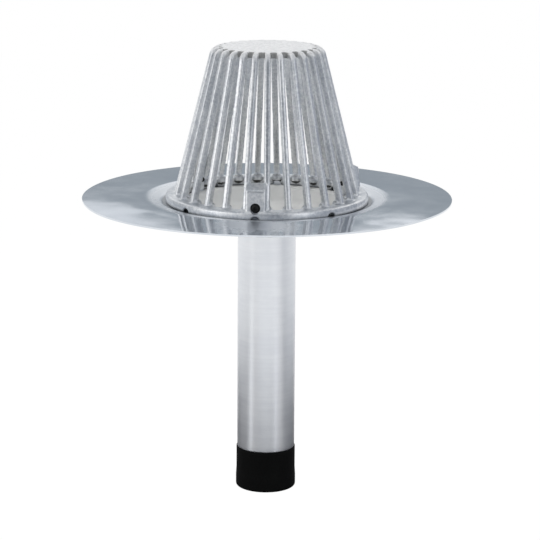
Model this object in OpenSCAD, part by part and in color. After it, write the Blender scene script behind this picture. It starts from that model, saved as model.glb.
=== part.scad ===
// Retrofit roof drain: a spun aluminium flange and sump, a welded outlet stem with a rubber
// backflow seal, and a cast strainer dome. The origin is on the axis, in the plane of the
// flange's underside, which is the roof's surface. All sizes are in millimetres.

/* [Flange and sump] */
// Outer diameter of the flange
flange_d = 444.5; // [380:0.5:500]
// Thickness of the spun sheet
sheet_t = 2; // [1.5:0.1:3]
// Depth of the dome's recess below the flange
recess_depth = 5; // [4:0.5:8]
// Clear floor between the dome's base ring and the side of its recess
recess_margin = 4.5; // [3:0.5:12]
// Width of the shallow dish between the flange and the recess
dish_run = 18; // [12:1:30]
// Fall of that dish
dish_fall = 2.5; // [1:0.25:3]
// Diameter of the sump's mouth
mouth_d = 190; // [170:1:194]
// Depth of the sump below the recess, down to its floor at the throat
sump_depth = 24; // [22:1:60]
// Lean of the sump's side wall, in degrees
sump_wall_lean = 18; // [8:1:30]
// Fall of the sump's floor towards the throat, in degrees
sump_floor_fall = 4; // [3:1:12]
// Length of the throat's collar below the sump's floor
collar_len = 10; // [8:1:16]

/* [Outlet stem] */
// Outer diameter of the stem
stem_d = 70; // [60:0.5:78]
// Wall of the stem's tube
stem_wall = 2.2; // [1.6:0.1:3]
// Length of the stem, from its top in the collar to the end of its neck
stem_len = 314; // [200:1:500]
// Depth by which the neck that carries the seal is drawn in
neck_step = 3; // [2:0.5:4]
// Length of the neck
neck_len = 34; // [24:1:60]
// Leg of the weld between the collar and the stem
weld_leg = 3; // [2:0.5:4]

/* [Backflow seal] */
// Amount by which the seal's sleeve stands out from the stem
seal_proud = 1; // [0.8:0.1:3]
// Length of the seal below the neck's end
seal_tail = 14; // [12:0.5:24]
// Amount by which the seal's lip stands out from its sleeve
seal_flare = 0.6; // [0:0.1:2]
// Radius of the lip's lower edge
seal_round = 3; // [1.5:0.5:4]
// Width of the groove in the seal's underside
groove_w = 2; // [1.5:0.1:2.5]
// Depth of that groove
groove_depth = 9; // [5:0.5:11]

/* [Strainer dome] */
// Height of the dome above its seat, to the edge of its top plate
dome_h = 187; // [140:1:240]
// Rise of the top plate's crown
crown_h = 1.5; // [0.5:0.5:4]
// Outer diameter of the base ring
ring_d = 244; // [238:1:260]
// Width of the base ring, from its rim to its bore
ring_w = 18; // [17:0.5:20]
// Height of the base ring
ring_h = 10; // [8:0.5:14]
// Number of ribs
rib_count = 27; // [21:3:33]
// Distance of the ribs' feet from the base ring's rim
rib_inset = 10; // [8:0.5:12]
// Diameter across the ribs' outer lines at the top plate's edge
rib_top_d = 134; // [120:1:160]
// Width of a rib's outer face
rib_w = 6.2; // [4:0.1:7.5]
// Extra width of a rib at its inner edge
rib_draft = 1.6; // [0.2:0.1:2]
// Depth of a rib, square to its outer face
rib_depth = 8; // [5:0.5:8]
// Radius of the bend at the top of each rib
shoulder_r = 12; // [10:0.5:16]
// Thickness of the top plate at its edge
plate_t = 7.5; // [5:0.5:10]
// Diameter of the pad at each rib's foot
pad_d = 13; // [9:0.5:13]
// Gap between the pads and the recess's floor
pad_gap = 5.5; // [2:0.5:6]
// Number of weep notches under the base ring
weep_count = 8; // [4:1:12]
// Width of a weep notch
weep_d = 10; // [6:0.5:12]

/* [Lugs and lock screws] */
// Width of a lug
lug_w = 23.5; // [20:0.5:28]
// Height of a lug above the dome's seat
lug_h = 41; // [36:1:60]
// Distance of a lug's face from the base ring's rim
lug_inset = 2.6; // [2:0.2:5]
// Lean of a lug's face, in degrees
lug_lean = 6; // [0:1:10]
// Height of the screws above the dome's seat
screw_z = 14; // [14:0.5:20]
// Thread diameter of the lock screws
screw_d = 6; // [5:0.5:6]
// Head diameter of the lock screws
head_d = 11.5; // [10:0.5:12]
// Head height of the lock screws
head_h = 3.6; // [3:0.2:5]
// Depth of the counterbore for the head
counterbore = 2.6; // [1.5:0.1:4]
// Width of the tabs that the screws bite in
tab_w = 10; // [9:0.5:10.5]
// Thickness of the tabs
tab_t = 3; // [2:0.5:4]

/* [Hidden] */
$fn = 96;
LAP = 1;

// Clearances
stem_fit = 0.15;
seal_fit = 0.05;
tab_fit = 0.3;
screw_fit = 0.3;
thread_fit = 0.05;
head_fit = 0.5;

// Shared radii and levels
ring_r = ring_d / 2;
bore_r = ring_r - ring_w;
stem_r = stem_d / 2;
mid_z = sheet_t / 2;
seat_z = sheet_t - recess_depth;
ring_top_z = seat_z + ring_h;
plate_z = seat_z + dome_h;

// ---- Outlines ----------------------------------------------------------------------------

function unit(v) = v / norm(v);
function left_of(v) = [-v[1], v[0]];
function cross2(a, b) = a[0] * b[1] - a[1] * b[0];

// Points of an arc about centre c, from angle a0 to angle a1
function arc(c, r, a0, a1, steps = 6) =
    [for (i = [0 : steps]) let (a = a0 + (a1 - a0) * i / steps) c + r * [cos(a), sin(a)]];

// Corner b of the path a-b-c, moved sideways by d to the left of the way the path runs
function offset_corner(a, b, c, d) =
    let (n = left_of(unit(b - a)), m = unit(n + left_of(unit(c - b)))) b + m * d / (m * n);

// The arc of radius r that rounds corner b of the path a-b-c
function rounded_corner(a, b, c, r) =
    let (u = unit(a - b), w = unit(c - b), half = acos(u * w) / 2,
         centre = b + unit(u + w) * r / sin(half),
         start = b + u * r / tan(half) - centre,
         a0 = atan2(start[1], start[0]),
         turn = sign(cross2(w, u)) * (180 - 2 * half))
    arc(centre, r, a0, a0 + turn);

// One side of a bent sheet: the path p moved left by d, with its corners rounded
function sheet_side(p, bends, d) =
    let (last = len(p) - 1,
         q = [for (i = [0 : last])
                i == 0 ? p[0] + left_of(unit(p[1] - p[0])) * d
                : i == last ? p[last] + left_of(unit(p[last] - p[last - 1])) * d
                : offset_corner(p[i - 1], p[i], p[i + 1], d)])
    [for (i = [0 : last])
        each i == 0 || i == last ? [q[i]]
        : rounded_corner(q[i - 1], q[i], q[i + 1],
                         bends[i] - sign(cross2(p[i] - p[i - 1], p[i + 1] - p[i])) * d)];

// Section of a sheet of thickness t along path p, bent to the mid-line radii in bends
module bent_sheet(p, bends, t) {
    back = sheet_side(p, bends, -t / 2);
    polygon(concat(sheet_side(p, bends, t / 2), [for (i = [len(back) - 1 : -1 : 0]) back[i]]));
}

// Copies of the children round the axis, the first at angle start
module ring_of(n, start = 0) {
    for (i = [0 : n - 1]) rotate([0, 0, start + i * 360 / n]) children();
}

// ---- Spun drain body ---------------------------------------------------------------------

dish_bend = 25;
step_run = 3;
step_bend = 4;
lip_bend = 5;
sump_bend = 14;
throat_bend = 5;

floor_z = mid_z - recess_depth;
throat_z = floor_z - sump_depth;
collar_r = stem_r + stem_fit + sheet_t / 2;
collar_end_z = throat_z - collar_len;
step_r = ring_r + recess_margin;
step_top_r = step_r + step_run;

// The leaning wall and the falling floor of the sump meet here
wall_run = tan(sump_wall_lean);
floor_rise = tan(sump_floor_fall);
corner_r = (mouth_d / 2 - wall_run * (sump_depth + floor_rise * collar_r))
           / (1 - wall_run * floor_rise);
corner_z = throat_z + (corner_r - collar_r) * floor_rise;

module drain_body() {
    path = [[flange_d / 2, mid_z], [step_top_r + dish_run, mid_z],
            [step_top_r, mid_z - dish_fall], [step_r, floor_z],
            [mouth_d / 2, floor_z], [corner_r, corner_z], [collar_r, throat_z],
            [collar_r, collar_end_z]];
    bends = [0, dish_bend, step_bend, step_bend, lip_bend, sump_bend, throat_bend, 0];
    color("lightsteelblue")
    rotate_extrude($fn = 180) bent_sheet(path, bends, sheet_t);
}

// ---- Outlet stem -------------------------------------------------------------------------

stem_top_z = throat_z - throat_bend;
stem_end_z = stem_top_z - stem_len;
neck_r = stem_r - neck_step;
neck_z = stem_end_z + neck_len;
swage_h = 3;
swage_z = neck_z + swage_h;

module drain_stem() {
    bore_drop = stem_wall / 2;
    tube = [[stem_r, stem_top_z], [stem_r, swage_z], [neck_r, neck_z], [neck_r, stem_end_z],
            [neck_r - stem_wall, stem_end_z], [neck_r - stem_wall, neck_z - bore_drop],
            [stem_r - stem_wall, swage_z - bore_drop], [stem_r - stem_wall, stem_top_z]];
    bead = [[stem_r - LAP, collar_end_z], [stem_r + weld_leg, collar_end_z],
            [stem_r, collar_end_z - weld_leg], [stem_r - LAP, collar_end_z - weld_leg]];
    color("gainsboro")
    rotate_extrude() {
        polygon(tube);
        polygon(bead);
    }
}

// ---- Backflow seal -----------------------------------------------------------------------

seal_r = stem_r + seal_proud;
lip_r = seal_r + seal_flare;
seal_end_z = stem_end_z - seal_tail;
lip_h = 14;
flare_h = 24;
edge_round = 0.6;

module backflow_seal() {
    tail_r = neck_r - stem_wall;
    groove_r = (tail_r + lip_r) / 2;
    groove_top = seal_end_z + groove_depth - groove_w / 2;
    outline = concat(
        [[tail_r, stem_end_z]],
        arc([tail_r + edge_round, seal_end_z + edge_round], edge_round, 180, 270, 3),
        arc([lip_r - seal_round, seal_end_z + seal_round], seal_round, 270, 360),
        [[lip_r, seal_end_z + lip_h], [seal_r, seal_end_z + flare_h]],
        arc([seal_r - edge_round, swage_z - edge_round], edge_round, 0, 90, 3),
        [[stem_r + seal_fit, swage_z], [neck_r + seal_fit, neck_z],
         [neck_r + seal_fit, stem_end_z]]);
    color([0.11, 0.11, 0.12])
    rotate_extrude() difference() {
        polygon(outline);
        translate([groove_r - groove_w / 2, seal_end_z - LAP])
            square([groove_w, groove_top - seal_end_z + LAP]);
        translate([groove_r, groove_top]) circle(d = groove_w);
    }
}

// ---- Strainer dome -----------------------------------------------------------------------

rib_foot_r = ring_r - rib_inset;
rib_top_r = rib_top_d / 2;
rib_lean = atan((rib_foot_r - rib_top_r) / (plate_z - ring_top_z));
rib_pitch = 360 / rib_count;
rib_sink = 4;
rib_edge = 0.8;

// The bend takes this much of the rib's line and of the plate's top, from their corner
bend_run = shoulder_r * tan((90 - rib_lean) / 2);
bend_start = [rib_top_r + bend_run * sin(rib_lean), plate_z - bend_run * cos(rib_lean)];
plate_r = rib_top_r - bend_run + rib_edge;

// Radius of the ribs' outer faces at height z
function rib_face(z) = rib_foot_r - (z - ring_top_z) * tan(rib_lean);

// Section of a rib, with its outer face at x = out
module rib_section(out = 0) {
    outer = rib_w / 2;
    inner = outer + rib_draft / 2;
    polygon([[out, outer - rib_edge], [out - rib_edge, outer], [out - rib_depth, inner],
             [out - rib_depth, -inner], [out - rib_edge, -outer], [out, rib_edge - outer]]);
}

// A rib: a straight bar up the cone, and a bend over the shoulder that ends inside the plate's rim.
// Both are placed from the start of the bend, so that they meet exactly
module rib() {
    foot_z = ring_top_z - rib_sink;
    bar = norm([rib_face(foot_z), foot_z] - bend_start);
    translate([bend_start[0], 0, bend_start[1]]) rotate([0, -rib_lean, 0]) {
        translate([0, 0, -bar]) linear_extrude(height = bar) rib_section();
        translate([-shoulder_r, 0, 0]) rotate([90, 0, 0])
            rotate_extrude(angle = 90 - rib_lean) rib_section(shoulder_r);
    }
}

// The pad at a rib's foot, which stands out into the bore and tapers up into the rib
module rib_pad() {
    foot_z = seat_z + pad_gap;
    taper_z = ring_top_z + rib_edge;
    tip_z = taper_z + (pad_d - rib_w) / 2;
    translate([bore_r, 0, 0]) rotate_extrude($fn = 48)
        polygon([[0, foot_z], [pad_d / 2, foot_z], [pad_d / 2, taper_z],
                 [rib_w / 2, tip_z], [0, tip_z]]);
}

module base_ring() {
    rim_round = 3;
    bore_round = 1.5;
    foot_edge = 0.8;
    rotate_extrude($fn = 180) polygon(concat(
        [[bore_r, seat_z], [ring_r - foot_edge, seat_z], [ring_r, seat_z + foot_edge]],
        arc([ring_r - rim_round, ring_top_z - rim_round], rim_round, 0, 90),
        arc([bore_r + bore_round, ring_top_z - bore_round], bore_round, 90, 180, 3)));
}

// The crowned plate, with a round end to each slot between two ribs
module top_plate() {
    crown_r = (plate_r * plate_r + crown_h * crown_h) / (2 * crown_h);
    crown_angle = asin(plate_r / crown_r);
    slot_w = 2 * plate_r * sin(rib_pitch / 2) - rib_w + rib_edge;
    difference() {
        rotate_extrude() polygon(concat(
            [[0, plate_z - plate_t], [plate_r, plate_z - plate_t]],
            arc([0, plate_z + crown_h - crown_r], crown_r, 90 - crown_angle, 90)));
        ring_of(rib_count, rib_pitch / 2) translate([plate_r, 0, plate_z - plate_t - LAP])
            cylinder(d = slot_w, h = plate_t + 2 * LAP, $fn = 32);
    }
}

// ---- Lugs, tabs and lock screws ----------------------------------------------------------

lug_count = 3;
screw_axis_z = seat_z + screw_z;
tab_face_r = bore_r - tab_fit;
lug_start = -90 - rib_pitch / 2;

// Radius of a lug's face at height z
function lug_face(z) = ring_r - lug_inset - (z - ring_top_z) * tan(lug_lean);

head_seat_r = lug_face(screw_axis_z) - counterbore;

module lug() {
    round_r = 2.5;
    foot_z = ring_top_z - ring_h / 2;
    boss_z = screw_axis_z + head_d / 2;
    top_z = seat_z + lug_h;
    slope_h = 6;
    side = [[bore_r, foot_z], [lug_face(foot_z), foot_z],
            [lug_face(top_z - slope_h), top_z - slope_h], [rib_face(top_z), top_z],
            [rib_face(top_z) - rib_depth / 2, top_z], [bore_r, boss_z]];
    front_r = ring_r - round_r;
    intersection() {
        translate([0, lug_w / 2, 0]) rotate([90, 0, 0]) linear_extrude(height = lug_w) polygon(side);
        translate([0, 0, foot_z]) linear_extrude(height = lug_h) {
            translate([rib_top_r, -lug_w / 2]) square([front_r - lug_inset - rib_top_r, lug_w]);
            translate([rib_top_r, round_r - lug_w / 2])
                square([ring_r - rib_top_r, lug_w - 2 * round_r]);
            for (s = [-1, 1]) translate([front_r - lug_inset, s * (lug_w / 2 - round_r)])
                circle(r = round_r, $fn = 32);
        }
    }
}

// The clearance hole and counterbore through a lug
module screw_hole() {
    translate([bore_r - LAP, 0, screw_axis_z]) rotate([0, 90, 0])
        cylinder(d = screw_d + screw_fit, h = ring_w, $fn = 32);
    translate([head_seat_r, 0, screw_axis_z]) rotate([0, 90, 0])
        cylinder(d = head_d + 2 * head_fit, h = ring_w, $fn = 48);
}

module weep_notch() {
    translate([bore_r - pad_d, 0, seat_z]) rotate([0, 90, 0])
        cylinder(d = weep_d, h = ring_w + pad_d + LAP, $fn = 32);
}

module strainer_dome() {
    color("silver")
    difference() {
        union() {
            base_ring();
            top_plate();
            ring_of(rib_count, -90) {
                rib();
                rib_pad();
            }
            ring_of(lug_count, lug_start) lug();
        }
        ring_of(lug_count, lug_start) screw_hole();
        ring_of(weep_count, lug_start) weep_notch();
    }
}

// A tab welded upright on the recess's floor, just inside the base ring
module dome_tab(i) {
    weld = 1.2;
    color("gray")
    rotate([0, 0, lug_start + i * 360 / lug_count]) {
        translate([tab_face_r, 0, 0]) rotate([0, -90, 0]) difference() {
            linear_extrude(height = tab_t) {
                translate([seat_z, -tab_w / 2]) square([screw_z, tab_w]);
                translate([screw_axis_z, 0]) circle(d = tab_w);
            }
            translate([screw_axis_z, 0, -LAP])
                cylinder(d = screw_d + 2 * thread_fit, h = tab_t + 2 * LAP, $fn = 48);
        }
        translate([tab_face_r - tab_t, tab_w / 2, seat_z]) rotate([90, 0, 0])
            linear_extrude(height = tab_w) polygon([[LAP, 0], [-weld, 0], [0, weld], [LAP, weld]]);
    }
}

module dome_tab_1() { dome_tab(0); }
module dome_tab_2() { dome_tab(1); }
module dome_tab_3() { dome_tab(2); }

// A button-head screw along X, its head's underside at the counterbore's floor
module lock_screw() {
    tip_run = 3;
    socket_w = 4.5;
    tip_r = tab_face_r - tab_t - tip_run;
    dome_r = (head_d * head_d / 4 + head_h * head_h) / (2 * head_h);
    dome_angle = asin(head_d / 2 / dome_r);
    translate([tip_r, 0, screw_axis_z]) rotate([0, 90, 0])
        cylinder(d = screw_d, h = head_seat_r - tip_r + LAP, $fn = 48);
    translate([head_seat_r, 0, screw_axis_z]) rotate([0, 90, 0]) difference() {
        rotate_extrude($fn = 48) polygon(concat([[0, 0]],
            arc([0, head_h - dome_r], dome_r, 90 - dome_angle, 90)));
        translate([0, 0, head_h / 2]) cylinder(d = socket_w, h = head_h, $fn = 6);
    }
}

module lock_screws() {
    color([0.08, 0.09, 0.09])
    ring_of(lug_count, lug_start) lock_screw();
}

drain_body();
drain_stem();
backflow_seal();
strainer_dome();
dome_tab_1();
dome_tab_2();
dome_tab_3();
lock_screws();
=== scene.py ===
from math import asin, atan, atan2, cos, hypot, pi, radians, sin, sqrt, tan

import bmesh
import bpy
from mathutils import Matrix, Vector, noise


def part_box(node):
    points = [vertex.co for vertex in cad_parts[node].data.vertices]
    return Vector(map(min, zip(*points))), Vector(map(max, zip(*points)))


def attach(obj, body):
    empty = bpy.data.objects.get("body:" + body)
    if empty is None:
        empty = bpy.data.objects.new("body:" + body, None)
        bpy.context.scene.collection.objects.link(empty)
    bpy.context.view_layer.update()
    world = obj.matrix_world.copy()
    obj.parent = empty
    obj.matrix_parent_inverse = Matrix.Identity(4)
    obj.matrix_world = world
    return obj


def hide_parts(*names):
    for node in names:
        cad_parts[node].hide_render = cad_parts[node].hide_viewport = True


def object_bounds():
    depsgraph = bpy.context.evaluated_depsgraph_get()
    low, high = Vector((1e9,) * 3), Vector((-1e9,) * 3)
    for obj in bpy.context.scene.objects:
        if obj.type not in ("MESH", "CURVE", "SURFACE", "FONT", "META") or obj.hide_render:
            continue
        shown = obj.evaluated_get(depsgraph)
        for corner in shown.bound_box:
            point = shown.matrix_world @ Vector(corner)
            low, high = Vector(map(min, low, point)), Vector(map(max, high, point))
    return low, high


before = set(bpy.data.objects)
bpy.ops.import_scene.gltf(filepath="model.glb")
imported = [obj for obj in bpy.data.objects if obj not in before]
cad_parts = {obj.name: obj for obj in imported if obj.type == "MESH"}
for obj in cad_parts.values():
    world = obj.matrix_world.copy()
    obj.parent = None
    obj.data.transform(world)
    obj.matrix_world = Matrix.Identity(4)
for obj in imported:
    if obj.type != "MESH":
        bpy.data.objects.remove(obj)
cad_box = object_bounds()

scene = bpy.context.scene
MM = 0.001


# ---- Sizes, in millimetres and radians -------------------------------------------------------

def corners(node):
    """The low and the high corner of a CAD node."""
    return [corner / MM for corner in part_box(node)]


body_low, body_high = corners("drain_body")
dome_low, dome_high = corners("strainer_dome")
stem_low, stem_high = corners("drain_stem")
seal_low, seal_high = corners("backflow_seal")

# The dome's base ring and top plate
RING_R, SEAT_Z, CROWN_Z = dome_high[0], dome_low[2], dome_high[2]
RING_W, RING_H = 18, 10
BORE_R, RING_TOP_Z = RING_R - RING_W, SEAT_Z + RING_H
WEEP_COUNT, WEEP_D = 8, 10
CROWN_H = 1.5                           # rise of the top plate's crown
PLATE_T = 7.5                           # thickness of the top plate at its edge
PLATE_Z = CROWN_Z - CROWN_H

# Its ribs, the pads at their feet and the slots between them
RIB_COUNT = 27
RIB_PITCH, RIB_START = 2 * pi / RIB_COUNT, -pi / 2
RIB_W, RIB_DEPTH = 6.2, 8
RIB_DRAFT = 1.6                         # extra width of a rib at its inner edge
RIB_EDGE = 0.8                          # chamfer along a rib's outer face
RIB_FOOT_R, RIB_TOP_R = RING_R - 10, 67
RIB_LEAN = atan((RIB_FOOT_R - RIB_TOP_R) / (PLATE_Z - RING_TOP_Z))
SHOULDER_R = 12                         # radius of the bend at the top of a rib
BEND_RUN = SHOULDER_R * tan((pi / 2 - RIB_LEAN) / 2)
PLATE_R = RIB_TOP_R - BEND_RUN + RIB_EDGE
SLOT_R = PLATE_R * sin(RIB_PITCH / 2) - (RIB_W - RIB_EDGE) / 2
PAD_D = 13
PAD_GAP = 5.5                           # gap between the pads and the dome's seat

# Its lugs, the lock screws and the tabs that the screws bite in
LUG_COUNT, LUG_START = 3, -pi / 2 - RIB_PITCH / 2
LUG_W, LUG_H, LUG_LEAN = 23.5, 41, radians(6)
LUG_INSET = 2.6                         # distance of a lug's face from the ring's rim
SCREW_Z, SCREW_R = SEAT_Z + 14, 3
THREAD_H, THREAD_PITCH = 0.55, 1.0
HEAD_R, HEAD_H = 5.75, 3.6
COUNTERBORE = 2.6                       # depth of the head's seat in the lug
TAB_FIT, TAB_T = 0.3, 3
TIP_REACH = 3                           # length of a screw's tip past its tab

# The spun body
FLANGE_R, SHEET_T, COLLAR_END_Z = body_high[0], body_high[2], body_low[2]
RECESS_R = RING_R + 4.5
RECESS_DEPTH, RECESS_WALL_RUN = 5, 3
DISH_R, DISH_FALL = RECESS_R + 21, 2.5
MOUTH_R, SUMP_DEPTH = 95, 24
SUMP_LEAN, FLOOR_FALL = radians(18), radians(4)
BODY_BENDS = [25, 4, 4, 5, 14, 5]       # mid-line radii, from the dish's rim in to the throat

# The stem and its seal
STEM_TOP_Z, STEM_END_Z = stem_high[2], stem_low[2]
STEM_R, STEM_WALL = 35, 2.2
STEM_FIT = 0.15                         # clearance of the stem in the collar
NECK_STEP, NECK_LEN = 3, 34
NECK_R, NECK_Z = STEM_R - NECK_STEP, STEM_END_Z + NECK_LEN
SEAL_TOP_Z, SEAL_END_Z, LIP_R = seal_high[2], seal_low[2], seal_high[0]
SLEEVE_R = STEM_R + 1
SEAL_FIT = 0.05                         # clearance of the seal on the stem


def rib_face(z):
    """Radius of the ribs' outer faces at height z."""
    return RIB_FOOT_R - (z - RING_TOP_Z) * tan(RIB_LEAN)


def lug_face(z):
    """Radius of the lugs' outer faces at height z."""
    return RING_R - LUG_INSET - (z - RING_TOP_Z) * tan(LUG_LEAN)


HEAD_SEAT_R = lug_face(SCREW_Z) - COUNTERBORE


# ---- Shader trees ----------------------------------------------------------------------------

class Wire:
    """An output socket of a shader tree. Arithmetic on it adds the tree's Math nodes."""

    def __init__(self, bench, socket):
        self.bench, self.socket = bench, socket

    def maths(self, operation, *values):
        return self.bench.node("ShaderNodeMath", {"operation": operation}, *values)

    def __add__(self, other):
        return self.maths("ADD", self, other)

    def __sub__(self, other):
        return self.maths("SUBTRACT", self, other)

    def __mul__(self, other):
        return self.maths("MULTIPLY", self, other)

    def __rsub__(self, other):
        return self.maths("SUBTRACT", other, self)

    __radd__ = __add__
    __rmul__ = __mul__

    def larger(self, other):
        return self.maths("MAXIMUM", self, other)

    def step(self, low, high):
        """0 below low, 1 above high, smooth between them."""
        return self.bench.node(
            "ShaderNodeMapRange", {"interpolation_type": "SMOOTHSTEP"},
            **{"Value": self, "From Min": low, "From Max": high},
        )


class Bench:
    """One material's or world's node tree while it is being wired."""

    def __init__(self, owner):
        owner.use_nodes = True
        self.owner, self.tree = owner, owner.node_tree
        self.tree.nodes.clear()

    def node(self, kind, settings=None, *values, output=0, **named):
        """Adds a node with these settings and feeds its sockets, by position or by name."""
        made = self.tree.nodes.new(kind)
        for key, value in (settings or {}).items():
            setattr(made, key, value)
        for key, value in [*enumerate(values), *named.items()]:
            self.feed(made.inputs[key], value)
        return Wire(self, made.outputs[output])

    def feed(self, socket, value):
        if isinstance(value, Wire):
            self.tree.links.new(value.socket, socket)
        else:
            socket.default_value = value

    def place(self):
        """The point on the surface, in metres in the object's own frame."""
        return self.node("ShaderNodeTexCoord", output="Object")

    def mark(self, name):
        """A number that the mesh holds at each of its points."""
        return self.node("ShaderNodeAttribute", {"attribute_name": name}, output="Fac")

    def along(self, vector, axis):
        return self.node("ShaderNodeSeparateXYZ", None, vector, output=axis)

    def stretched(self, vector, scale):
        return self.node("ShaderNodeVectorMath", {"operation": "MULTIPLY"}, vector, scale)

    def moved(self, vector, offset):
        return self.node("ShaderNodeVectorMath", {"operation": "ADD"}, vector, offset)

    def length(self, vector):
        return self.node("ShaderNodeVectorMath", {"operation": "LENGTH"}, vector, output="Value")

    def joined(self, x, y, z):
        return self.node("ShaderNodeCombineXYZ", None, x, y, z)

    def noise(self, vector, scale, detail=2.0, roughness=0.5):
        return self.node("ShaderNodeTexNoise", {"normalize": True}, Vector=vector, Scale=scale,
                         Detail=detail, Roughness=roughness)

    def blend(self, mask, low, high):
        """The colour low where mask is 0 and high where it is 1."""
        made = self.tree.nodes.new("ShaderNodeMix")
        made.data_type = "RGBA"
        self.feed(made.inputs["Factor"], mask)
        for key, value in (("A", low), ("B", high)):
            socket = [s for s in made.inputs if s.name == key and s.type == "RGBA"][0]
            self.feed(socket, value if isinstance(value, Wire) else (*value, 1))
        return Wire(self, [s for s in made.outputs if s.type == "RGBA"][0])

    def bump(self, height, strength, distance):
        return self.node("ShaderNodeBump", None, Height=height, Strength=strength, Distance=distance)

    def surface(self, **named):
        """Ends the tree in a Principled shader with these sockets, spaces written as underscores."""
        shader = self.node("ShaderNodeBsdfPrincipled", None,
                           **{key.replace("_", " "): value for key, value in named.items()})
        self.finish(shader)
        return self.owner

    def finish(self, shader):
        """Ends the tree in the output of a world or of a material."""
        kind = "ShaderNodeOutputWorld" if isinstance(self.owner, bpy.types.World) \
            else "ShaderNodeOutputMaterial"
        self.tree.links.new(shader.socket, self.tree.nodes.new(kind).inputs["Surface"])


def new_bench(name):
    """The bench of a new material."""
    return Bench(bpy.data.materials.new(name))


# ---- Materials -------------------------------------------------------------------------------

def spun_aluminium():
    """Mill finish sheet, spun on a lathe: faint rings about the axis, soft stains and fine grain.
    The flange is bright, with one scuff in front. From the dish inwards the sheet is satin, on the
    floor of the recess it is darkened with painted shade, and within the bore it is made pale and less
    metallic with painted light."""
    scuff_x, scuff_y, scuff_size = -15, -165, 50
    bench = new_bench("spun_aluminium")
    place = bench.place()
    radius = bench.length(bench.stretched(place, (1, 1, 0))) * (1 / MM)
    stains = bench.noise(place, 11, 4, 0.6)
    rings = bench.noise(bench.joined(radius, 0, 0), 0.5, 3, 0.7)
    grain = bench.noise(place, 900, 2, 0.6)
    satin = 1 - radius.step(DISH_R - 9.5, DISH_R + 2.5)
    upper = bench.mark("upper_side")
    past_bore = radius.step(BORE_R - 2, BORE_R + 1)
    # Painted light: the upper side within the bore is made pale and less metallic.
    painted_light_in_sump = upper * (1 - past_bore)
    # Painted shade: the floor of the recess, between the bore and the recess wall, is darkened.
    painted_recess_shade = upper * past_bore * (1 - radius.step(RECESS_R - 1, RECESS_R + 1.5))
    spread = 1 / (scuff_size * MM)
    from_scuff = bench.length(bench.moved(bench.stretched(place, (spread, spread, 0)),
                                          (-scuff_x / scuff_size, -scuff_y / scuff_size, 0)))
    scuff = 1 - (from_scuff + 1.6 * bench.noise(place, 55, 4, 0.6)).step(1.3, 2.1)
    skin = bench.blend(stains.step(0.35, 0.7), (0.65, 0.69, 0.74), (0.77, 0.80, 0.84))
    skin = bench.blend(satin * 0.6 + scuff * 0.2, skin, (0.82, 0.84, 0.87))
    skin = bench.blend(painted_light_in_sump, skin, (0.96, 0.96, 0.94))
    dull = 0.22 * satin + 0.2 * painted_light_in_sump + 0.26 * scuff
    return bench.surface(
        Base_Color=bench.blend(painted_recess_shade * 0.65, skin, (0.09, 0.095, 0.1)),
        Metallic=1 - 0.9 * painted_light_in_sump,
        Roughness=0.035 + 0.06 * stains.step(0.3, 0.75) + 0.02 * rings + dull,
        Anisotropic=0.35,
        Normal=bench.bump(rings * 0.7 + grain * 0.3, 0.2, 0.04 * MM),
    )


def tube_aluminium():
    """Satin drawn tube: faint rings from its turning, clouds of a duller skin."""
    bench = new_bench("tube_aluminium")
    place = bench.place()
    level = bench.along(place, "Z") * (1 / MM)
    rings = bench.noise(bench.joined(0, 0, level), 0.22, 4, 0.65)
    clouds = bench.noise(bench.stretched(place, (1, 1, 2.5)), 22, 3, 0.6)
    return bench.surface(
        Base_Color=bench.blend((clouds * 0.6 + rings * 0.4).step(0.3, 0.7),
                               (0.77, 0.79, 0.825), (0.86, 0.88, 0.905)),
        Metallic=1.0,
        Roughness=0.28 + 0.08 * rings + 0.06 * clouds,
        Normal=bench.bump(rings, 0.25, 0.06 * MM),
    )


def cast_aluminium():
    """Blasted casting: a fine granular skin, rougher and less metallic on the top plate, which painted
    light from above also makes paler, and painted shade, dark and dull, below the pads, on them in the
    bore and on the walls of the slot ends."""
    bench = new_bench("cast_aluminium")
    place = bench.place()
    level = bench.along(place, "Z") * (1 / MM)
    # Painted shade, read from the mesh's marks: below the pads, on them and on the walls of the slot
    # ends.
    painted_shade = bench.mark("painted_shade")
    coarse = bench.noise(place, 300, 3, 0.65)
    fine = bench.noise(place, 1100, 2, 0.5)
    tone = bench.noise(bench.stretched(place, (1, 1, 0.45)), 45, 3, 0.6)
    skin = bench.blend((coarse * 0.55 + tone * 0.45).step(0.34, 0.64),
                       (0.60, 0.625, 0.66), (0.89, 0.90, 0.91))
    # Painted light from above: the top plate and rib shoulders turn paler, as well as rougher and less
    # metallic.
    rough_lit_top = level.step(PLATE_Z - 10, PLATE_Z - 1)
    pale = bench.blend(coarse.step(0.38, 0.62), (0.82, 0.82, 0.82), (0.97, 0.97, 0.97))
    skin = bench.blend(rough_lit_top * 0.9, skin, pale)
    return bench.surface(
        Base_Color=bench.blend(painted_shade, skin, (0.07, 0.072, 0.066)),
        Metallic=1.0 - 0.6 * painted_shade - 0.3 * rough_lit_top,
        Roughness=0.27 + 0.10 * coarse + 0.4 * painted_shade + 0.2 * rough_lit_top,
        Normal=bench.bump(coarse * 0.4 + fine * 0.6, 0.3, 0.1 * MM),
    )


def seal_rubber():
    """Black moulded rubber with a dull bloom."""
    bench = new_bench("seal_rubber")
    place = bench.place()
    skin = bench.noise(place, 700, 3, 0.6)
    bloom = bench.noise(place, 35, 3, 0.6)
    return bench.surface(
        Base_Color=bench.blend(bloom.step(0.45, 0.8),
                               (0.0013, 0.0015, 0.0014), (0.0030, 0.0034, 0.0032)),
        Roughness=0.6 + 0.16 * bloom,
        Specular_IOR_Level=0.1,
        Normal=bench.bump(skin, 0.4, 0.1 * MM),
    )


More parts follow.
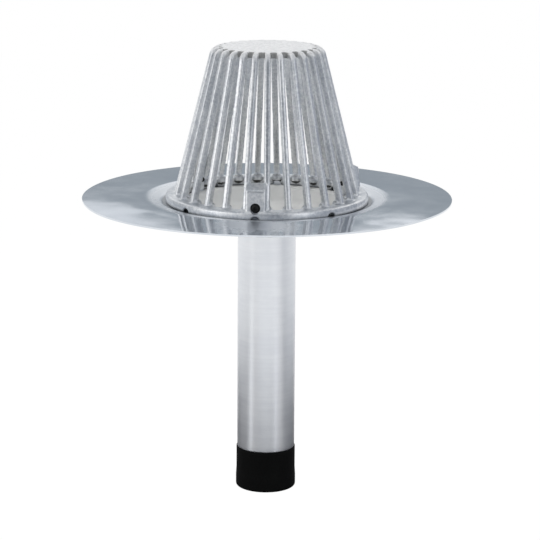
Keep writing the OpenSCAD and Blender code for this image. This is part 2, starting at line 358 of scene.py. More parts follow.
def black_screw():
    """Blackened steel, a little paler where it is worn."""
    bench = new_bench("black_screw")
    place = bench.place()
    wear = bench.noise(place, 500, 3, 0.6)
    return bench.surface(
        Base_Color=bench.blend(wear.step(0.55, 0.8), (0.006, 0.0065, 0.0065), (0.02, 0.02, 0.02)),
        Metallic=0.3,
        Roughness=0.4 + 0.15 * wear,
        Normal=bench.bump(wear, 0.3, 0.05 * MM),
    )


SPUN, TUBE, CAST = spun_aluminium(), tube_aluminium(), cast_aluminium()
RUBBER, BLACK = seal_rubber(), black_screw()
for tab in ("dome_tab_1", "dome_tab_2", "dome_tab_3"):
    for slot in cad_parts[tab].material_slots:
        slot.material = SPUN


# ---- Making meshes ---------------------------------------------------------------------------

def piece_of(name, mesh):
    """Puts the mesh in the scene as an object."""
    piece = bpy.data.objects.new(name, mesh)
    scene.collection.objects.link(piece)
    return piece


def mesh_only(piece):
    """Drops the object and keeps its mesh."""
    mesh = piece.data
    bpy.data.objects.remove(piece)
    return mesh


def mesh_of(name, points, faces):
    """A mesh from points in millimetres, its doubles merged and its faces turned outwards."""
    mesh = bpy.data.meshes.new(name)
    mesh.from_pydata([Vector(point) * MM for point in points], [], faces)
    shape = bmesh.new()
    shape.from_mesh(mesh)
    bmesh.ops.remove_doubles(shape, verts=shape.verts, dist=0.001 * MM)
    bmesh.ops.recalc_face_normals(shape, faces=shape.faces)
    shape.to_mesh(mesh)
    shape.free()
    return mesh


def turned(name, outline, turns):
    """The closed outline of (radius, height) points, turned about the axis in this many steps."""
    size = len(outline)
    points = [(r * cos(a), r * sin(a), z)
              for a in (2 * pi * i / turns for i in range(turns)) for r, z in outline]
    faces = [[i * size + j, i * size + (j + 1) % size,
              (i + 1) % turns * size + (j + 1) % size, (i + 1) % turns * size + j]
             for i in range(turns) for j in range(size)]
    return mesh_of(name, points, faces)


def swept(name, sections):
    """A closed bar through these sections, each a list of as many points."""
    size, last = len(sections[0]), len(sections) - 1
    faces = [[i * size + j, i * size + (j + 1) % size,
              (i + 1) * size + (j + 1) % size, (i + 1) * size + j]
             for i in range(last) for j in range(size)]
    faces += [list(range(size)), list(range(last * size, (last + 1) * size))]
    return mesh_of(name, [point for section in sections for point in section], faces)


def arc(centre, radius, start, end, steps=8):
    """Points of an arc between two angles."""
    return [(centre[0] + radius * cos(a), centre[1] + radius * sin(a))
            for a in (start + (end - start) * i / steps for i in range(steps + 1))]


def crossed(a, b):
    """Above 0 where b turns to the left of a."""
    return a[0] * b[1] - a[1] * b[0]


def moved_aside(path, distance):
    """The path moved to the left of the way it runs."""
    runs = [(b - a).normalized() for a, b in zip(path, path[1:])]
    lefts = [Vector((-run[1], run[0])) for run in runs]
    lefts = [lefts[0], *lefts, lefts[-1]]
    moved = []
    for point, before, after in zip(path, lefts, lefts[1:]):
        middle = (before + after).normalized()
        moved.append(point + middle * distance / middle.dot(before))
    return moved


def rounded(path, radii, steps=8):
    """The path with an arc of its own radius at each inner corner."""
    points = [tuple(path[0])]
    for before, corner, after, radius in zip(path, path[1:], path[2:], radii):
        back, on = (before - corner).normalized(), (after - corner).normalized()
        half = back.angle(on) / 2
        centre = corner + (back + on).normalized() * radius / sin(half)
        spoke = corner + back * radius / tan(half) - centre
        turn = (pi - 2 * half) * (1 if crossed(on, back) > 0 else -1)
        points += [tuple(centre + Matrix.Rotation(turn * i / steps, 2) @ spoke)
                   for i in range(steps + 1)]
    return points + [tuple(path[-1])]


def bent_sheet(path, radii, thickness):
    """The closed section of a sheet that is bent along the path, to these mid-line radii."""
    path = [Vector(point) for point in path]
    sides = []
    for distance in (thickness / 2, -thickness / 2):
        bends = [radius - distance * (1 if crossed(b - a, c - b) > 0 else -1)
                 for a, b, c, radius in zip(path, path[1:], path[2:], radii)]
        sides.append(rounded(moved_aside(path, distance), bends))
    return sides[0] + sides[1][::-1]


def divided(outline, longest):
    """The closed outline with its edges divided into parts of about this length at most."""
    points = []
    for a, b in zip(outline, outline[1:] + outline[:1]):
        parts = max(1, round(hypot(b[0] - a[0], b[1] - a[1]) / longest))
        points += [(a[0] + (b[0] - a[0]) * i / parts, a[1] + (b[1] - a[1]) * i / parts)
                   for i in range(parts)]
    return points


def baked(piece):
    """Turns the piece's modifiers into its plain mesh."""
    solid = piece.evaluated_get(bpy.context.evaluated_depsgraph_get())
    mesh = bpy.data.meshes.new_from_object(solid)
    piece.modifiers.clear()
    piece.data = mesh
    return piece


def with_modifier(piece, kind, **settings):
    """The piece, with a modifier of this kind and these settings added."""
    modifier = piece.modifiers.new(kind.lower(), kind)
    for key, value in settings.items():
        setattr(modifier, key, value)
    return piece


def cut(piece, tool):
    """Takes the tool's shape out of the piece and drops the tool."""
    baked(with_modifier(piece, "BOOLEAN", operation="DIFFERENCE", solver="MANIFOLD", object=tool))
    bpy.data.objects.remove(tool)
    return piece


def joined(name, *pieces):
    """One piece that holds the meshes of these pieces, which are dropped."""
    shape = bmesh.new()
    for piece in pieces:
        shape.from_mesh(mesh_only(piece))
    mesh = bpy.data.meshes.new(name)
    shape.to_mesh(mesh)
    shape.free()
    return piece_of(name, mesh)


def finished(piece, slot, material, *nodes, sharp=40):
    """Gives a piece its material and its place on the body, and hides the CAD nodes that it stands for.
    """
    mesh = piece.data
    mesh.materials.clear()
    mesh.materials.append(material)
    for face in mesh.polygons:
        face.material_index = 0
    mesh.shade_smooth()
    mesh.set_sharp_from_angle(angle=radians(sharp))
    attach(piece, "root")
    if nodes:
        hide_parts(*nodes)
    return piece


# ---- Geometry trees --------------------------------------------------------------------------

class Sketch:
    """A Geometry Nodes tree while it is being wired, with its named inputs."""

    def __init__(self, name, **sockets):
        self.tree = bpy.data.node_groups.new(name, "GeometryNodeTree")
        for key, kind in sockets.items():
            self.tree.interface.new_socket(key, in_out="INPUT", socket_type="NodeSocket" + kind)
        self.tree.interface.new_socket("Geometry", in_out="OUTPUT", socket_type="NodeSocketGeometry")
        self.given = self.tree.nodes.new("NodeGroupInput").outputs

    def node(self, kind, settings=None, **named):
        """Adds a node. Named sockets are set or linked, with spaces written as underscores."""
        made = self.tree.nodes.new(kind)
        for key, value in (settings or {}).items():
            setattr(made, key, value)
        for key, value in named.items():
            self.feed(made.inputs[key.replace("_", " ")], value)
        return made

    def feed(self, socket, value):
        if isinstance(value, bpy.types.Node):
            value = value.outputs[0]
        if isinstance(value, bpy.types.NodeSocket):
            self.tree.links.new(value, socket)
        else:
            socket.default_value = value

    def maths(self, operation, a, b=0.0):
        made = self.node("ShaderNodeMath", {"operation": operation})
        self.feed(made.inputs[0], a)
        self.feed(made.inputs[1], b)
        return made

    def turns(self):
        """The angle of each of Count places round the axis, the first at 0."""
        pitch = self.maths("DIVIDE", 2 * pi, self.given["Count"])
        return self.maths("MULTIPLY", self.node("GeometryNodeInputIndex"), pitch)

    def joined(self, **axes):
        return self.node("ShaderNodeCombineXYZ", **axes)

    def finish(self, geometry):
        out = self.tree.nodes.new("NodeGroupOutput")
        real = self.node("GeometryNodeRealizeInstances", Geometry=geometry)
        self.feed(out.inputs[0], self.node("GeometryNodeSetMaterial", Geometry=real,
                                           Material=self.given["Material"]))
        return self.tree

    @staticmethod
    def run(tree, name, mesh, **values):
        """Makes a plain piece by running the tree on the mesh with these inputs."""
        piece = piece_of(name, mesh)
        modifier = piece.modifiers.new(tree.name, "NODES")
        modifier.node_group = tree
        for item in tree.interface.items_tree:
            if item.in_out == "INPUT" and item.name in values:
                modifier[item.identifier] = values[item.name]
        return baked(piece)


def ring_tree():
    """Copies of the incoming mesh round the axis, the first turned by Start."""
    sketch = Sketch("ring_of", Geometry="Geometry", Count="Int", Start="Float", Material="Material")
    given = sketch.given
    turn = sketch.maths("ADD", sketch.turns(), given["Start"])
    copies = sketch.node("GeometryNodeInstanceOnPoints",
                         Points=sketch.node("GeometryNodePoints", Count=given["Count"]),
                         Instance=given["Geometry"],
                         Rotation=sketch.joined(Z=turn))
    return sketch.finish(copies)


def bead_tree():
    """A rippled weld bead round the axis: overlapping drops, each a little off its place."""
    sketch = Sketch("weld_bead", Geometry="Geometry", Count="Int", Radius="Float", Height="Float",
                    Width="Float", Unevenness="Float", Seed="Int", Material="Material")
    given = sketch.given
    width = given["Width"]
    turn = sketch.turns()
    random = sketch.node("FunctionNodeRandomValue", {"data_type": "FLOAT"}, Seed=given["Seed"])
    for socket, value in zip([s for s in random.inputs if s.type == "VALUE"], (-1.0, 1.0)):
        socket.default_value = value
    stray = [s for s in random.outputs if s.type == "VALUE"][0]
    offset = sketch.maths("MULTIPLY", sketch.maths("MULTIPLY", stray, given["Unevenness"]), width)
    reach = sketch.maths("ADD", given["Radius"], offset)
    at = sketch.joined(X=sketch.maths("MULTIPLY", sketch.maths("COSINE", turn), reach),
                       Y=sketch.maths("MULTIPLY", sketch.maths("SINE", turn), reach),
                       Z=sketch.maths("SUBTRACT", given["Height"], offset))
    drops = sketch.node("GeometryNodeInstanceOnPoints",
                        Points=sketch.node("GeometryNodePoints", Count=given["Count"], Position=at),
                        Instance=given["Geometry"],
                        Rotation=sketch.joined(Z=turn),
                        Scale=sketch.joined(X=width, Y=width, Z=width))
    return sketch.finish(drops)


RING_OF, WELD_BEAD = ring_tree(), bead_tree()


def ring_of(name, mesh, count, start, material=CAST):
    """A piece of this many copies of the mesh round the axis, the first at the angle start."""
    return Sketch.run(RING_OF, name, mesh, Count=count, Start=start, Material=material)


# ---- Spun drain body -------------------------------------------------------------------------

def make_wavy(mesh):
    """Waves the flange a little up and down, growing from beside the dish outwards."""
    calm_w, growth_w, wave_h = 18, 25, 0.5
    broad, fine, shift = 9, 34, Vector((3.1, 7.7, 0))
    for vertex in mesh.vertices:
        r = hypot(vertex.co.x, vertex.co.y) / MM
        share = min(max((r - RECESS_R - calm_w) / growth_w, 0), 1)
        at = Vector((vertex.co.x, vertex.co.y, 0))
        wave = noise.noise(at * broad + shift) + 0.12 * noise.noise(at * fine)
        vertex.co.z += wave_h * MM * share * share * wave


def mark_upper_side(mesh):
    """Writes 1 on the side that sees the sky and 0 on the underside."""
    marks = mesh.attributes.new("upper_side", "FLOAT", "POINT")
    for vertex, mark in zip(mesh.vertices, marks.data):
        outwards = Vector((vertex.co.x, vertex.co.y, 0)).normalized()
        mark.value = vertex.normal.z > vertex.normal.dot(outwards)


def drain_body():
    """The spun flange, dish, recess, sump and collar."""
    mid_z = SHEET_T / 2
    recess_z = mid_z - RECESS_DEPTH
    throat_z, collar_r = recess_z - SUMP_DEPTH, STEM_R + STEM_FIT + SHEET_T / 2
    run, rise = tan(SUMP_LEAN), tan(FLOOR_FALL)
    corner_r = (MOUTH_R - run * (SUMP_DEPTH + rise * collar_r)) / (1 - run * rise)
    outline = bent_sheet(
        [(FLANGE_R, mid_z), (DISH_R, mid_z), (RECESS_R + RECESS_WALL_RUN, mid_z - DISH_FALL),
         (RECESS_R, recess_z), (MOUTH_R, recess_z),
         (corner_r, throat_z + (corner_r - collar_r) * rise), (collar_r, throat_z),
         (collar_r, COLLAR_END_Z)],
        BODY_BENDS, SHEET_T)
    mesh = turned("drain_body", divided(outline, longest=4), turns=480)
    make_wavy(mesh)
    mark_upper_side(mesh)
    return finished(piece_of("drain_body_skin", mesh), "spun_aluminium", SPUN, "drain_body")


# ---- Outlet stem and its seal ----------------------------------------------------------------

def drain_stem():
    """The tube, whose lower end is drawn in to the neck over two bends."""
    middle, bend_r = STEM_WALL / 2, 3
    outline = bent_sheet([(STEM_R - middle, STEM_TOP_Z), (STEM_R - middle, NECK_Z + NECK_STEP),
                          (NECK_R - middle, NECK_Z), (NECK_R - middle, STEM_END_Z)],
                         [bend_r, bend_r], STEM_WALL)
    mesh = turned("drain_stem", divided(outline, longest=6), turns=256)
    return finished(piece_of("drain_stem_skin", mesh), "tube_aluminium", TUBE, "drain_stem")


def collar_weld():
    """The rippled fillet weld between the collar and the stem."""
    drop = bpy.data.meshes.new("weld_drop")
    shape = bmesh.new()
    bmesh.ops.create_uvsphere(shape, u_segments=16, v_segments=10, radius=1,
                              matrix=Matrix.Diagonal((0.8, 0.8, 1, 1)))
    shape.to_mesh(drop)
    shape.free()
    piece = Sketch.run(WELD_BEAD, "collar_weld", drop, Count=104, Radius=(STEM_R + 0.9) * MM,
                       Height=(COLLAR_END_Z - 0.7) * MM, Width=2.2 * MM, Unevenness=0.09, Seed=7,
                       Material=TUBE)
    return finished(piece, "tube_aluminium", TUBE)


def backflow_seal():
    """The rubber sleeve on the neck, with its lip, its underside's groove and two mould lines."""
    tail_r, edge, lip = NECK_R - STEM_WALL, 0.6, 3
    lip_top, flare_top = SEAL_END_Z + 14, SEAL_END_Z + 24
    groove_r, groove_half, groove_top = (tail_r + LIP_R) / 2, 1, SEAL_END_Z + 8
    line_half, line_h = 0.7, 0.12
    outline = [
        (tail_r, STEM_END_Z),
        *arc((tail_r + edge, SEAL_END_Z + edge), edge, pi, 1.5 * pi),
        (groove_r - groove_half, SEAL_END_Z),
        *arc((groove_r, groove_top), groove_half, pi, 0),
        (groove_r + groove_half, SEAL_END_Z),
        *arc((LIP_R - lip, SEAL_END_Z + lip), lip, -pi / 2, 0),
        (LIP_R, lip_top), (SLEEVE_R, flare_top),
        *arc((SLEEVE_R - edge, SEAL_TOP_Z - edge), edge, 0, pi / 2),
        (STEM_R + SEAL_FIT, SEAL_TOP_Z), (NECK_R + SEAL_FIT, NECK_Z), (NECK_R + SEAL_FIT, STEM_END_Z),
    ]
    mesh = turned("backflow_seal", divided(outline, longest=3), turns=360)
    for vertex in mesh.vertices:
        r = hypot(vertex.co.x, vertex.co.y) / MM
        if r > STEM_R + 0.5:
            share = max(0, 1 - abs(vertex.co.x) / MM / line_half)
            vertex.co.y *= 1 + line_h * share / r
    return finished(piece_of("backflow_seal_skin", mesh), "seal_rubber", RUBBER, "backflow_seal")


# ---- Strainer dome ---------------------------------------------------------------------------

def rib_bar(bend_steps=12):
    """One rib: a chamfered bar up the cone that bends over the shoulder into the plate."""
    outer, inner = RIB_W / 2, (RIB_W + RIB_DRAFT) / 2
    profile = [(0, outer - RIB_EDGE), (RIB_EDGE, outer), (RIB_DEPTH, inner),
               (RIB_DEPTH, -inner), (RIB_EDGE, -outer), (0, RIB_EDGE - outer)]
    sunk = 4
    foot_z = RING_TOP_Z - sunk
    bend = Vector((RIB_TOP_R + BEND_RUN * sin(RIB_LEAN), PLATE_Z - BEND_RUN * cos(RIB_LEAN)))
    outward = Vector((cos(RIB_LEAN), sin(RIB_LEAN)))
    centre = bend - outward * SHOULDER_R
    line = [(Vector((rib_face(foot_z), foot_z)), outward)]
    for i in range(bend_steps + 1):
        turn = RIB_LEAN + (pi / 2 - RIB_LEAN) * i / bend_steps
        outward = Vector((cos(turn), sin(turn)))
        line.append((centre + outward * SHOULDER_R, outward))
    sections = [[((at - out * depth)[0], aside, (at - out * depth)[1]) for depth, aside in profile]
                for at, out in line]
    return swept("rib", sections)


def rib_pad():
    """The round pad at a rib's foot, which tapers up into the rib."""
    foot_z, taper_z, tip_r = SEAT_Z + PAD_GAP, RING_TOP_Z + RIB_EDGE, RIB_W / 2
    tip_z = taper_z + (PAD_D - RIB_W) / 2
    mesh = turned("pad", [(0, foot_z), (PAD_D / 2, foot_z), (PAD_D / 2, taper_z), (tip_r, tip_z),
                          (0, tip_z)], turns=40)
    mesh.transform(Matrix.Translation((BORE_R * MM, 0, 0)))
    return mesh


def top_plate(steps_per_rib=28, rings=20):
    """The crowned plate, whose rim runs in a round slot end between each two ribs."""
    crown_r = (PLATE_R ** 2 + CROWN_H ** 2) / (2 * CROWN_H)
    turns = RIB_COUNT * steps_per_rib
    points, faces = [], []
    for i in range(turns):
        turn = 2 * pi * i / turns
        aside = RIB_PITCH / 2 - abs((turn + RIB_PITCH / 2) % RIB_PITCH - RIB_PITCH / 2)
        across = PLATE_R * sin(aside)
        rim = PLATE_R
        if across < SLOT_R:
            rim = PLATE_R * cos(aside) - sqrt(SLOT_R ** 2 - across ** 2)
        turned_by = turn + RIB_START
        for j in range(rings + 1):
            r = rim * j / rings
            top = CROWN_Z - crown_r + sqrt(crown_r ** 2 - r ** 2)
            points += [(r * cos(turned_by), r * sin(turned_by), z) for z in (top, PLATE_Z - PLATE_T)]
    row = 2 * (rings + 1)
    for i in range(turns):
        a, b = i * row, (i + 1) % turns * row
        for j in range(rings):
            for k in (0, 1):
                faces.append([a + 2 * j + k, a + 2 * j + 2 + k, b + 2 * j + 2 + k, b + 2 * j + k])
        faces.append([a + row - 2, a + row - 1, b + row - 1, b + row - 2])
    return mesh_of("top_plate", points, faces)


def base_ring():
    """The ring that the ribs stand on, its edges eased."""
    foot_edge, rim, bore = 0.8, 3, 1.5
    return turned("base_ring", [
        (BORE_R, SEAT_Z), (RING_R - foot_edge, SEAT_Z), (RING_R, SEAT_Z + foot_edge),
        *arc((RING_R - rim, RING_TOP_Z - rim), rim, 0, pi / 2),
        *arc((BORE_R + bore, RING_TOP_Z - bore), bore, pi / 2, pi)], turns=360)


def lug():
    """A lug for a lock screw, its edges eased."""
    foot_z, top_z, boss_z = RING_TOP_Z - RING_H / 2, SEAT_Z + LUG_H, SCREW_Z + HEAD_R
    brow_z = top_z - 6
    side = [(BORE_R, foot_z), (lug_face(foot_z), foot_z), (lug_face(brow_z), brow_z),
            (rib_face(top_z), top_z), (rib_face(top_z) - RIB_DEPTH / 2, top_z), (BORE_R, boss_z)]
    bar = swept("lug", [[(r, aside, z) for r, z in side] for aside in (-LUG_W / 2, LUG_W / 2)])
    return mesh_only(baked(with_modifier(piece_of("lug", bar), "BEVEL", width=1.8 * MM, segments=3)))


def cylinder_out(name, start, end, radius, z, steps=48):
    """A cylinder along X between two distances from the axis."""
    return swept(name, [[(x, radius * cos(a), z + radius * sin(a))
                         for a in (2 * pi * i / steps for i in range(steps))] for x in (start, end)])


def distance_in_row(point, row_r, start):
    """Distance in plan from the nearest of the rib pitch's points on the circle of radius row_r,
    and from the axis."""
    r = hypot(point.x, point.y) / MM
    turn = (atan2(point.y, point.x) - start + RIB_PITCH / 2) % RIB_PITCH - RIB_PITCH / 2
    return hypot(r * cos(turn) - row_r, r * sin(turn)), r


def mark_painted_shade(mesh):
    """Writes the share of painted shade, dark and dull: below the pads, a half on them in the bore, and
    on the walls of the slot ends."""
    crescent_r, crescent_h, under_z, pad_z = 6.6, 4.2, SEAT_Z + 5.6, SEAT_Z + 6.2
    marks = mesh.attributes.new("painted_shade", "FLOAT", "POINT")
    for vertex, mark in zip(mesh.vertices, marks.data):
        z = vertex.co.z / MM
        from_pad, r = distance_in_row(vertex.co, BORE_R, RIB_START)
        reach = max(0, 1 - (from_pad / crescent_r) ** 2)
        below_pad = min(max(z - under_z + crescent_h * reach, 0), 1) * (z < pad_z)
        below_pad *= (r < BORE_R + 1) * (reach > 0)
        on_pad = 0.5 * (pad_z <= z < RING_TOP_Z + 3) * (r < BORE_R + 1.5) * min(2 * reach, 1)
        from_slot, _ = distance_in_row(vertex.co, PLATE_R, RIB_START + RIB_PITCH / 2)
        in_slot = max(0, 1.6 - abs(from_slot - SLOT_R)) * (r < PLATE_R + 0.5)
        in_slot *= PLATE_Z - PLATE_T - 1 < z < PLATE_Z - 0.6
        mark.value = min(below_pad + on_pad + 0.55 * min(in_slot, 1), 1)


def strainer_casting():
    """The whole strainer as one casting: its pieces are fused, and their inner corners run soft."""
    voxel, most_triangles, hole_r, seat_r = 1.15 * MM, 185000, 3.15, 6.25
    ring = cut(piece_of("ring", base_ring()),
               ring_of("weeps", cylinder_out("weep", BORE_R - 13, RING_R + 1, WEEP_D / 2, SEAT_Z),
                       WEEP_COUNT, LUG_START))
    casting = joined("strainer_casting", ring, piece_of("plate", top_plate()),
                     ring_of("ribs", rib_bar(), RIB_COUNT, RIB_START),
                     ring_of("pads", rib_pad(), RIB_COUNT, RIB_START),
                     ring_of("lugs", lug(), LUG_COUNT, LUG_START))
    with_modifier(casting, "REMESH", mode="VOXEL", voxel_size=voxel)
    baked(with_modifier(casting, "SMOOTH", factor=0.5, iterations=3))
    hole = cylinder_out("hole", BORE_R - 2, RING_R, hole_r, SCREW_Z)
    seat = cylinder_out("seat", HEAD_SEAT_R, RING_R + 3, seat_r, SCREW_Z)
    cut(casting, ring_of("holes", hole, LUG_COUNT, LUG_START))
    cut(casting, ring_of("seats", seat, LUG_COUNT, LUG_START))
    triangles = sum(len(face.vertices) - 2 for face in casting.data.polygons)
    if triangles > most_triangles:
        baked(with_modifier(casting, "DECIMATE", ratio=most_triangles / triangles))
    mark_painted_shade(casting.data)
    return finished(casting, "cast_aluminium", CAST, "strainer_dome", sharp=60)


# ---- Lock screws -----------------------------------------------------------------------------

def threaded_shank(tip_r, seat_r, turns=36, rows_per_pitch=8):
    """The shank between these two distances from the axis, its tip tapered."""
    length, tip_taper, tip_len = seat_r - tip_r, 0.35, 1.2
    rows = int(length / THREAD_PITCH * rows_per_pitch)
    sections = []
    for i in range(rows + 1):
        x = length * i / rows
        taper = tip_taper * max(1 - x / tip_len, 0)
        section = []
        for k in range(turns):
            turn = 2 * pi * k / turns
            phase = (x / THREAD_PITCH + k / turns) % 1
            r = SCREW_R - THREAD_H * abs(2 * phase - 1) - taper
            section.append((tip_r + x, r * cos(turn), SCREW_Z + r * sin(turn)))
        sections.append(section)
    return swept("shank", sections)


def domed_head(seat_r):
    """The button head with its hex socket, seated at this distance from the axis."""
    foot_edge, key_r = 0.3, 2.25 / cos(pi / 6)
    dome_r = (HEAD_R ** 2 + HEAD_H ** 2) / (2 * HEAD_H)
    spread = asin(HEAD_R / dome_r)
    profile = [(0, 0), (HEAD_R - foot_edge, 0), (HEAD_R, foot_edge),
               *arc((0, HEAD_H - dome_r), dome_r, pi / 2 - spread + 0.09, pi / 2, 14)]
    head = turned("head", profile, turns=72)
    head.transform(Matrix.Translation((seat_r * MM, 0, SCREW_Z * MM)) @ Matrix.Rotation(pi / 2, 4, "Y"))
    head = piece_of("head", head)
    hexagon = [(key_r * cos(pi * k / 3), key_r * sin(pi * k / 3)) for k in range(6)]
    key = swept("key", [[(seat_r + x, y, SCREW_Z + z) for y, z in hexagon]
                        for x in (HEAD_H * 0.35, HEAD_H + 1)])
    return cut(head, piece_of("key", key))


def lock_screws():
    """Three button-head screws, whose tips stand out from the tabs that they bite in."""
    tip_r = BORE_R - TAB_FIT - TAB_T - TIP_REACH
    shank = piece_of("shank", threaded_shank(tip_r, HEAD_SEAT_R))
    screw = mesh_only(joined("screw", shank, domed_head(HEAD_SEAT_R)))
    return finished(ring_of("lock_screw_set", screw, LUG_COUNT, LUG_START, BLACK),
                    "black_screw", BLACK, "lock_screws", sharp=35)


drain_body()
drain_stem()
collar_weld()
backflow_seal()
strainer_casting()
lock_screws()


# ---- Studio, in metres -----------------------------------------------------------------------

FLOOR_DROP = 0.30        # the floor lies this far below the seal's end
SOFT_SKY = 0.55          # strength of the world as soft light; it shows and mirrors as plain white
FLOOR_GLOW = 1.055
CAMERA_AT = (0, -2.75, 0.551)
AIM = (0.0041, 0, -0.0889)
LENS = 155.1
ROLL = radians(0.33)


def seen_rays(bench):
    """1 for rays from the camera and for mirror and glass rays, 0 for soft light."""
    path = bench.node("ShaderNodeLightPath", output="Is Camera Ray")
    gloss = bench.node("ShaderNodeLightPath", output="Is Glossy Ray")
    glass = bench.node("ShaderNodeLightPath", output="Is Transmission Ray")
    return path.larger(gloss).larger(glass)


def pale_world():
    """A white world, dimmed as soft light."""
    world = bpy.data.worlds.new("studio")
    scene.world = world
    bench = Bench(world)
    seen = seen_rays(bench)
    strength = seen + (1 - seen) * SOFT_SKY
    bench.finish(bench.node("ShaderNodeBackground", None, Color=(1, 1, 1, 1), Strength=strength))


def lying(z, half_x, near_y, far_y):
    """Corners of a level card at height z."""
    return [Vector((x, y, z)) for x, y in (
        (-half_x, near_y), (half_x, near_y), (half_x, far_y), (-half_x, far_y))]


def behind(y, outline):
    """Corners of an upright card of this (x, z) outline, square to the camera at distance y."""
    return [Vector((x, y, z)) for x, z in outline]


def standing(azimuth, reach, width, low, high):
    """Corners of an upright card that faces the object, at a turn to the right of the camera."""
    turn = radians(azimuth)
    out = Vector((sin(turn), -cos(turn), 0)) * reach
    aside = Vector((cos(turn), sin(turn), 0)) * width / 2
    return [out - aside + Vector((0, 0, low)), out + aside + Vector((0, 0, low)),
            out + aside + Vector((0, 0, high)), out - aside + Vector((0, 0, high))]


def stage_card(name, corners_at, material):
    """A flat card of the studio, no part of the object."""
    card = bpy.data.meshes.new(name)
    card.from_pydata(corners_at, [], [range(len(corners_at))])
    card.materials.append(material)
    piece = piece_of(name, card)
    return piece


def pale_floor():
    """A floor that looks as white as the world and still takes a trace of shadow."""
    bench = new_bench("studio_floor")
    paint = bench.node("ShaderNodeBsdfDiffuse", None, Color=(0.9, 0.9, 0.9, 1))
    glow = bench.node("ShaderNodeEmission", None, Color=(1, 1, 1, 1), Strength=FLOOR_GLOW)
    bench.finish(bench.node("ShaderNodeMixShader", None, seen_rays(bench) * 0.9, paint, glow))
    stage_card("studio_floor", lying(cad_box[0][2] - FLOOR_DROP, 6, -6, 6), bench.owner)


def flag(name, corners_at, grey, foot=None):
    """A grey card that only mirror rays see, so that it shades reflections and nothing else. Its
    shade runs from foot at its lowest edge to grey at its highest, or is grey all over."""
    bench = new_bench(name)
    levels = [corner[2] for corner in corners_at]
    height = bench.along(bench.place(), "Z").step(min(levels), max(levels))
    bench.finish(bench.node("ShaderNodeEmission", None, Strength=1.0,
                            Color=bench.blend(height, foot or grey, grey)))
    card = stage_card(name, corners_at, bench.owner)
    card.visible_camera = card.visible_diffuse = card.visible_shadow = False
    card.visible_transmission = card.visible_volume_scatter = False


def softbox(name, at, aim, size, glow, tint=(1, 1, 1)):
    """A soft rectangular lamp of size (width, height) whose face shines at the radiance glow. No
    mirror ray sees it."""
    lamp = bpy.data.lights.new(name, "AREA")
    lamp.shape = "RECTANGLE"
    lamp.size, lamp.size_y = size
    lamp.energy = glow * pi * size[0] * size[1]
    lamp.color = tint
    holder = bpy.data.objects.new(name, lamp)
    holder.location = at
    holder.rotation_euler = (Vector(aim) - Vector(at)).to_track_quat("-Z", "Y").to_euler()
    holder.visible_glossy = False
    scene.collection.objects.link(holder)


def lamps():
    """One lamp on each side of the camera and one overhead."""
    softbox("left_softbox", (-1.85, -1.0, 0.6), (0, 0, 0.1), (0.8, 1.2), 1.7)
    softbox("right_softbox", (1.45, -1.55, 0.6), (0, 0, 0.1), (0.7, 1.2), 1.3, (0.86, 0.93, 1.0))
    softbox("top_softbox", (0, 0.35, 1.9), (0, 0, 0), (1.6, 1.6), 1.6)


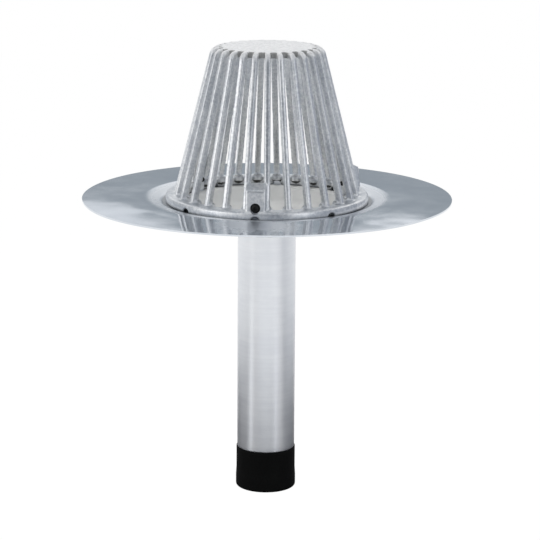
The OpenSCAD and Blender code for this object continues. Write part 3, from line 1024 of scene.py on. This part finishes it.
def cards_around():
    """The upright cards round the object, each placed by azimuth, reach, width, low and high."""
    black = (0, 0, 0)
    dark, slate = (0.18, 0.20, 0.23), (0.27, 0.295, 0.35)
    for name, place, grey, foot in (
            ("front_flag", (0, 1.25, 1.25, 0.12, 1.0), dark, None),
            ("front_foot", (0, 1.25, 1.3, -0.04, 0.12), dark, (0.9, 0.92, 0.95)),
            ("right_front_flag", (66, 1.4, 0.7, -0.25, 1.0), slate, (0.5, 0.53, 0.58)),
            ("right_flag", (104, 1.5, 1.9, -0.25, 1.0), (0.25, 0.27, 0.32), (0.5, 0.52, 0.56)),
            ("left_flag", (-112, 1.5, 1.6, 0.0, 1.0), (0.44, 0.46, 0.48), (0.60, 0.62, 0.64)),
            ("front_low", (0, 0.9, 1.15, -0.61, -0.35), (1.6, 1.62, 1.65), (0.15, 0.16, 0.17)),
            ("left_low", (-105, 0.9, 1.4, -0.61, -0.345), (0.93, 0.94, 0.96), black),
            ("right_low", (105, 0.9, 1.4, -0.61, -0.345), (0.80, 0.82, 0.86), black),
            ("rear_low", (180, 0.9, 1.0, -0.61, -0.37), (0.7, 0.71, 0.73), black),
            ("left_window", (-62, 2.0, 0.55, 0.1, 1.2), (1.8, 1.8, 1.8), None),
            ("right_window", (42, 2.0, 0.4, 0.1, 1.2), (1.2, 1.25, 1.3), None),
            ("left_streak", (-62, 0.85, 0.13, -0.61, -0.37), (1.75, 1.75, 1.78), (1.5, 1.52, 1.55)),
            ("right_streak", (40, 0.85, 0.12, -0.61, -0.37), (1.7, 1.72, 1.8), (1.4, 1.42, 1.5))):
        flag(name, standing(*place), grey, foot)


def level_and_rear_cards():
    """The cards over, under and behind the object, which its plate, stem and flange mirror."""
    flag("ceiling_flag", lying(1.3, 1.2, -1.2, 1.0), (0.5, 0.52, 0.55))
    flag("floor_flag", lying(-0.63, 1, -1, 1), (0.06, 0.06, 0.07))
    flag("back_haze", behind(1.65, [(-1.2, 0.28), (1.2, 0.28), (1.2, 0.6), (-1.2, 0.6)]),
         (0.90, 0.92, 0.95), (0.78, 0.81, 0.85))
    flag("back_flag", behind(1.6, [
        (-1.2, 0.0), (0.1, 0.0), (0.3, -0.3), (1.2, -0.3), (1.2, 0.39), (0.36, 0.39), (0.30, 0.40),
        (0.22, 0.41), (0.185, 0.41), (0.175, 0.415), (0.0, 0.415), (-0.155, 0.41), (-0.178, 0.385),
        (-0.20, 0.374), (-0.25, 0.357), (-0.28, 0.344), (-1.2, 0.336)]), (0.35, 0.385, 0.42))
    flag("back_wedge", behind(1.57, [
        (0.165, 0.385), (0.20, 0.377), (0.25, 0.381), (0.30, 0.378), (0.33, 0.40), (0.33, 0.5),
        (0.165, 0.5)]), (0.95, 0.97, 1.0))


def studio_camera():
    """The camera, turned to AIM and then by ROLL."""
    data = bpy.data.cameras.new("studio_camera")
    data.lens, data.sensor_width = LENS, 36
    data.clip_start, data.clip_end = 0.1, 50
    camera = bpy.data.objects.new("studio_camera", data)
    turn = (Vector(AIM) - Vector(CAMERA_AT)).to_track_quat("-Z", "Y").to_matrix()
    turn = turn @ Matrix.Rotation(ROLL, 3, "Z")
    camera.matrix_world = Matrix.Translation(CAMERA_AT) @ turn.to_4x4()
    scene.collection.objects.link(camera)
    scene.camera = camera


pale_world()
pale_floor()
lamps()
cards_around()
level_and_rear_cards()
studio_camera()
scene.view_settings.view_transform = "Standard"
